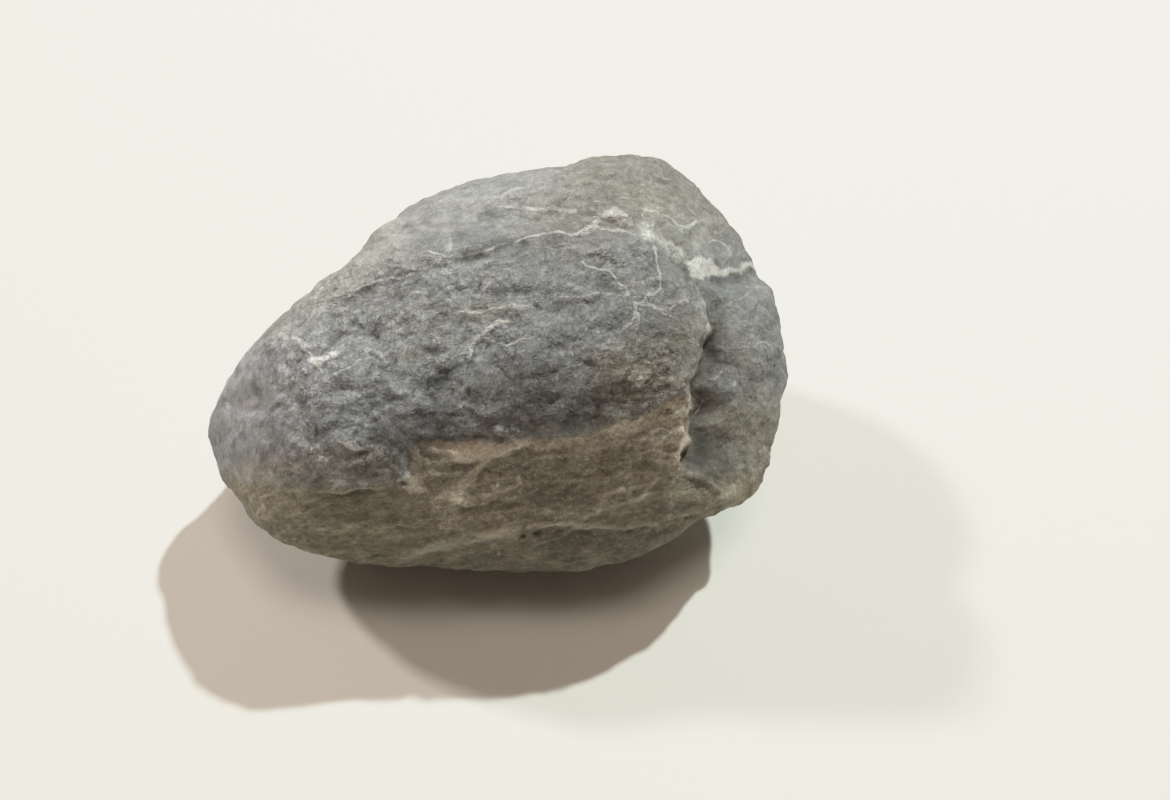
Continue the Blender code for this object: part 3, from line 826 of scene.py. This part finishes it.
def join(socket, value):
    """Joins a socket to another node's output, or gives it a constant."""
    if isinstance(value, bpy.types.NodeSocket):
        TREE.links.new(value, socket)
    elif isinstance(value, tuple) and len(value) == 3 and socket.type == "RGBA":
        socket.default_value = (*value, 1)
    else:
        socket.default_value = value


def add(kind, inputs, **settings):
    """A new node with these settings, and with these of its inputs joined or set."""
    made = TREE.nodes.new(f"ShaderNode{kind}")
    for name, setting in settings.items():
        setattr(made, name, setting)
    for socket, value in inputs.items():
        join(made.inputs[socket], value)
    return made


def attribute(name):
    return add("Attribute", {}, attribute_name=name).outputs["Fac"]


def maths(operation, first, second=0.0):
    return add("Math", {0: first, 1: second}, operation=operation).outputs[0]


def times(product, *factors):
    for factor in factors:
        product = maths("MULTIPLY", product, factor)
    return product


def vector(operation, first, second, output="Vector"):
    inputs = {0: first, "Scale" if operation == "SCALE" else 1: second}
    return add("VectorMath", inputs, operation=operation).outputs[output]


def between(value, low, high, to_low=0.0, to_high=1.0):
    """An S from to_low at `low` to to_high at `high`."""
    inputs = dict(enumerate((value, low, high, to_low, to_high)))
    return add("MapRange", inputs, interpolation_type="SMOOTHSTEP").outputs["Result"]


def mix(share, first, second, blend="MIX"):
    inputs = {0: share, 6: first, 7: second}  # where a mix of colours has them
    return add("Mix", inputs, data_type="RGBA", blend_type=blend).outputs[2]


def tinted(colour, other, value, low, high, most=1.0):
    """The colour, with up to `most` of the other mixed in where the value is high."""
    return mix(between(value, low, high, 0.0, most), colour, other)


def stretched(places, by):
    """The places with distances through the beds made `by` times longer."""
    height = vector("DOT_PRODUCT", places, tuple(THROUGH), "Value")
    shift = [times(height, (by - 1) * float(share)) for share in THROUGH]
    return vector("ADD", places, add("CombineXYZ", dict(enumerate(shift))).outputs[0])


def clouds(places, size, detail=2.0, roughness=0.5, distortion=0.0, output="Fac"):
    """Noise from 0 to 1, with its largest spots `size` across."""
    inputs = {"Vector": places, "Scale": 1 / size, "Detail": detail}
    inputs |= {"Roughness": roughness, "Distortion": distortion}
    return add("TexNoise", inputs).outputs[output]


def uneven(places, size, detail, roughness, height):
    """Noise round 0, up to about half `height` either way."""
    return times(maths("SUBTRACT", clouds(places, size, detail, roughness), 0.5), height)


def moved(places, size, stray, detail=2.0):
    """The places moved by noise, so that the cells laid over them are jagged."""
    shift = vector("SCALE", clouds(places, size, detail, output="Color"), stray)
    return vector("ADD", places, shift)


def knobs(places, size, stray):
    """Small lumps with sharp creases between them."""
    inputs = {"Vector": moved(places, size, stray), "Scale": 1 / size, "Smoothness": 0.12}
    found = add("TexVoronoi", inputs, feature="SMOOTH_F1")
    return maths("SUBTRACT", 1.0, found.outputs["Distance"])


def facets(places, size, stray):
    """The height of flat chips, each tilted its own way, with sharp edges between them."""
    jagged = moved(places, stray, stray, 3.0)
    found = add("TexVoronoi", {"Vector": jagged, "Scale": 1 / size})
    offset = vector("SUBTRACT", jagged, found.outputs["Position"])
    tilt = vector("SUBTRACT", found.outputs["Color"], (0.5, 0.5, 0.5))
    return vector("DOT_PRODUCT", offset, tilt, "Value")


def net(places, size, stray, half_width):
    """1 on the thin, jagged lines between large cells."""
    inputs = {"Vector": moved(places, stray, stray, 3.0), "Scale": 1 / size}
    found = add("TexVoronoi", inputs, feature="DISTANCE_TO_EDGE")
    return between(found.outputs["Distance"], 1.6 * half_width, 0.4 * half_width)


def bump(height, distance, strength=1.0, below=None):
    inputs = {"Height": height, "Distance": distance * MM, "Strength": strength}
    if below is not None:
        inputs["Normal"] = below
    return add("Bump", inputs).outputs["Normal"]


DARK_GREY = (0.178, 0.181, 0.181)
LIGHT_GREY = (0.318, 0.315, 0.310)
BLUE_GREY = (0.198, 0.211, 0.229)
BROWN_GREY = (0.268, 0.247, 0.198)
PALE_GREY = (0.48, 0.47, 0.435)
COOL_DARK = (0.172, 0.182, 0.195)
COOL_LIGHT = (0.303, 0.318, 0.336)
OLIVE_DARK = (0.166, 0.143, 0.100)
OLIVE = (0.258, 0.228, 0.167)
OLIVE_PALE = (0.45, 0.42, 0.325)
TAN_DARK = (0.187, 0.162, 0.125)
TAN = (0.300, 0.267, 0.218)
TAN_PALE = (0.54, 0.48, 0.395)
CALCITE = (0.64, 0.645, 0.62)
CRYSTAL = (0.86, 0.86, 0.83)
# The dark colour for dirt and dark cracks, and for painted shade.
DIRT_AND_SHADE = (0.085, 0.08, 0.066)
WORN = (0.50, 0.50, 0.49)


def limestone():
    """Joins up the stone's material. Sizes of its clouds and cells are in millimetres."""
    rough, warm_area = attribute("rough"), attribute("warm")
    places = vector("SCALE", add("TexCoord", {}).outputs["Object"], 1 / MM)
    beds = stretched(places, 1.5)
    broad = clouds(places, 13.0, 2)
    broad_too = clouds(vector("ADD", places, (31.0, 7.0, 3.0)), 11.0, 2)
    mottle = clouds(beds, 2.6, 5, 0.68)
    grain = clouds(places, 0.33, 3, 0.7)
    fibre = clouds(stretched(places, 1.3), 1.3, 4, 0.7, 0.4)
    strata = clouds(stretched(places, 6.0), 4.0, 4, 0.6)
    crumbs = knobs(places, 0.95, 0.55)
    crumbly = times(between(clouds(places, 4.5, 3), 0.38, 0.62, 0.3, 1.0), rough)
    fleck = between(clouds(places, 0.3, 2, 0.6), 0.61, 0.73)
    fleck = times(fleck, between(rough, 0.0, 1.0, 0.5, 1.0))
    thread = times(net(places, 4.4, 1.6, 0.016), between(fibre, 0.42, 0.56))
    thread = times(thread, between(broad_too, 0.40, 0.56), between(warm_area, 0.4, 0.9, 1.0, 0.1))
    crease = times(net(places, 3.4, 2.2, 0.02), between(fibre, 0.48, 0.56), rough)

    # The grey skin, with its cool and its olive areas.
    grey = tinted(DARK_GREY, LIGHT_GREY, mottle, 0.30, 0.70)
    grey = tinted(grey, BLUE_GREY, broad, 0.38, 0.62, 0.4)
    grey = tinted(grey, BROWN_GREY, broad_too, 0.45, 0.7, 0.25)
    cool = tinted(COOL_DARK, COOL_LIGHT, mottle, 0.30, 0.70)
    grey = mix(attribute("cool"), grey, cool)
    warm = times(warm_area, between(mottle, 0.3, 0.7, 0.8, 1.0))
    grey = mix(warm, grey, tinted(OLIVE_DARK, OLIVE, mottle, 0.32, 0.68))
    pale_grey = mix(warm, PALE_GREY, OLIVE_PALE)
    grey = tinted(grey, pale_grey, fibre, 0.50, 0.72, 0.22)
    streaks = times(between(strata, 0.48, 0.66, 0.0, 0.55), warm)
    grey = mix(streaks, grey, OLIVE_PALE)
    grey = mix(times(thread, 0.3), grey, WORN)
    grey = mix(times(fleck, 0.5), grey, WORN)
    grey = mix(times(crease, 0.3), grey, DIRT_AND_SHADE)

    # The tan stone below it.
    tan = tinted(TAN_DARK, TAN, mottle, 0.34, 0.66)
    tan = tinted(tan, TAN_PALE, strata, 0.48, 0.66, 0.5)
    tan = tinted(tan, TAN_PALE, grain, 0.55, 0.75, 0.35)
    ragged = uneven(places, 0.8, 4, 0.7, 0.9)
    tan_share = between(maths("ADD", attribute("tan"), ragged), 0.38, 0.62)
    colour = mix(tan_share, grey, tan)

    # Dark and pale areas, partly painted shade and painted light, painted shade and dirt in the creases, and
    # light worn rims.
    shaded = between(mottle, 0.2, 0.7, 1.0, 0.6)
    colour = mix(times(attribute("dark"), shaded), colour, DIRT_AND_SHADE)
    pale = maths("ADD", attribute("pale"), ragged)
    pale_colour = mix(tan_share, pale_grey, TAN_PALE)
    colour = mix(times(between(pale, 0.2, 1.0), 0.85), colour, pale_colour)
    # Painted shade and dirt in the creases and hollows, patchy with the mottle.
    shade_and_dirt_patches = between(mottle, 0.3, 0.6, 0.75, 0.35)
    colour = mix(times(attribute("crease_shade_and_dirt"), shade_and_dirt_patches), colour, DIRT_AND_SHADE)
    rubbed = times(between(grain, 0.35, 0.65, 0.05, 0.45), rough)
    worn_colour = mix(tan_share, WORN, TAN_PALE)
    colour = mix(times(attribute("worn"), rubbed), colour, worn_colour)

    # Veins and crystals. The gap keeps a vein shut where its side changes between two points.
    outside = maths("ABSOLUTE", attribute("vein_side"))
    gap = maths("SUBTRACT", attribute("vein_gap"), 0.4)
    outside = maths("MAXIMUM", outside, gap)
    outside = maths("SUBTRACT", outside, attribute("vein_half"))
    frayed = uneven(places, 0.6, 4, 0.75, 0.55)
    vein = between(maths("ADD", outside, frayed), 0.09, -0.09)
    broken = between(clouds(places, 1.4, 3, 0.6), 0.36, 0.58, 0.3, 1.0)
    vein = times(vein, broken, attribute("vein_white"))
    dusty = uneven(places, 0.6, 4, 0.7, 0.9)
    crystals = between(maths("ADD", attribute("white"), dusty), 0.2, 1.0)
    glints = between(grain, 0.3, 0.6, 0.6, 0.92)
    vein = maths("MAXIMUM", vein, times(crystals, glints))
    colour = mix(vein, colour, mix(crystals, CALCITE, CRYSTAL))

    # Grain and crumbs, and how light each place is, with the painted light and shade of the tone areas.
    speckle = between(grain, 0.25, 0.75, 0.5, 1.5)
    colour = mix(times(rough, 0.6), colour, speckle, "MULTIPLY")
    tops = between(crumbs, 0.35, 0.8, 0.86, 1.18)
    colour = mix(crumbly, colour, tops, "MULTIPLY")
    colour = vector("SCALE", colour, attribute("tone"))
    join(SHADER.inputs["Base Color"], colour)
    join(SHADER.inputs["Roughness"], between(grain, 0.3, 0.7, 0.78, 0.95))
    SHADER.inputs["Specular IOR Level"].default_value = 0.3

    fine = clouds(places, 0.28, 4, 0.75)
    normal = bump(facets(beds, 2.6, 1.2), 0.5, rough)
    normal = bump(crumbs, 0.27, crumbly, normal)
    normal = bump(fine, 0.15, rough, normal)
    normal = bump(maths("SUBTRACT", thread, crease), 0.07, 0.9, normal)
    join(SHADER.inputs["Normal"], normal)


limestone()
stone.mesh.materials.clear()
stone.mesh.materials.append(ROCK)
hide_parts("pebble")
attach(skin, "root")

# ---- Stage, camera and lights (lengths in metres)

FLOOR_SIZE = 3.0
FLOOR_COLOUR = (0.80, 0.785, 0.73, 1)
LAMP_DISTANCE = 1.0


def floor():
    bpy.ops.mesh.primitive_plane_add(size=FLOOR_SIZE, location=(0, 0, 0))
    sheet = bpy.context.object
    sheet.name = "floor"
    material = bpy.data.materials.new("floor")
    material.use_nodes = True
    shader = material.node_tree.nodes["Principled BSDF"]
    shader.inputs["Base Color"].default_value = FLOOR_COLOUR
    shader.inputs["Roughness"].default_value = 0.9
    shader.inputs["Specular IOR Level"].default_value = 0.2
    sheet.data.materials.append(material)


def camera():
    data = bpy.data.cameras.new("camera")
    data.lens = LENS
    data.sensor_width = SENSOR
    data.clip_start = 0.01
    made = bpy.data.objects.new("camera", data)
    axes = Matrix([Vector(ALONG), Vector(UP_SLOPE), Vector(OUT)]).transposed()
    made.matrix_world = Matrix.Translation(Vector(EYE * MM)) @ axes.to_4x4()
    bpy.context.scene.collection.objects.link(made)
    bpy.context.scene.camera = made


def lamp(name, turn, height, size, power, colour):
    """A square soft lamp, turned from +X towards +Y, at a height angle above the floor."""
    data = bpy.data.lights.new(name, "AREA")
    data.size = size
    data.energy = power
    data.color = colour
    turn, height = math.radians(turn), math.radians(height)
    way = Vector(
        (math.cos(height) * math.cos(turn), math.cos(height) * math.sin(turn), math.sin(height))
    )
    made = bpy.data.objects.new(name, data)
    made.location = way * LAMP_DISTANCE + Vector(STONE_MIDDLE * MM)
    made.rotation_euler = way.to_track_quat("Z", "Y").to_euler()
    bpy.context.scene.collection.objects.link(made)


def ambient(overhead, level):
    """Light from the room, one colour overhead and another level with the floor."""
    world = bpy.data.worlds.new("room")
    world.use_nodes = True
    nodes = world.node_tree.nodes
    way = nodes.new("ShaderNodeTexCoord")
    parts = nodes.new("ShaderNodeSeparateXYZ")
    ramp = nodes.new("ShaderNodeValToRGB")
    ramp.color_ramp.elements[0].color = (*level, 1)
    ramp.color_ramp.elements[1].color = (*overhead, 1)
    world.node_tree.links.new(way.outputs["Generated"], parts.inputs[0])
    world.node_tree.links.new(parts.outputs["Z"], ramp.inputs["Fac"])
    world.node_tree.links.new(ramp.outputs["Color"], nodes["Background"].inputs["Color"])
    bpy.context.scene.world = world


BRIGHTEST = 2.0  # the light that the tone curve still tells from more
TONE_STEPS = (0.15, 0.3, 0.4, 0.5, 0.6, 0.75)  # shares of the brightest where it has points
SHOULDER = 4.0  # higher bends the curve later and harder


def tone(light):
    """How bright the picture shows a light, as a camera does: bright ones are held back."""
    return light / (1 + light**SHOULDER) ** (1 / SHOULDER)


def tone_curve():
    view = bpy.context.scene.view_settings
    view.view_transform = "Standard"
    view.use_curve_mapping = True
    mapping = view.curve_mapping
    mapping.white_level = (BRIGHTEST,) * 3
    combined = mapping.curves[3]
    combined.points[1].location = (1, tone(BRIGHTEST))
    for share in TONE_STEPS:
        combined.points.new(share, tone(share * BRIGHTEST))
    mapping.update()


floor()
camera()
lamp("right_lamp", 40, 59.5, size=0.03, power=8.6, colour=(0.885, 0.98, 0.92))
lamp("left_lamp", 153.5, 44.8, size=0.08, power=4.7, colour=(1, 0.91, 0.86))
lamp("high_lamp", 310, 79, size=0.3, power=2.6, colour=(1, 0.88, 0.79))
ambient(overhead=(0.185, 0.13, 0.098), level=(0.0, 0.0, 0.0))
tone_curve()
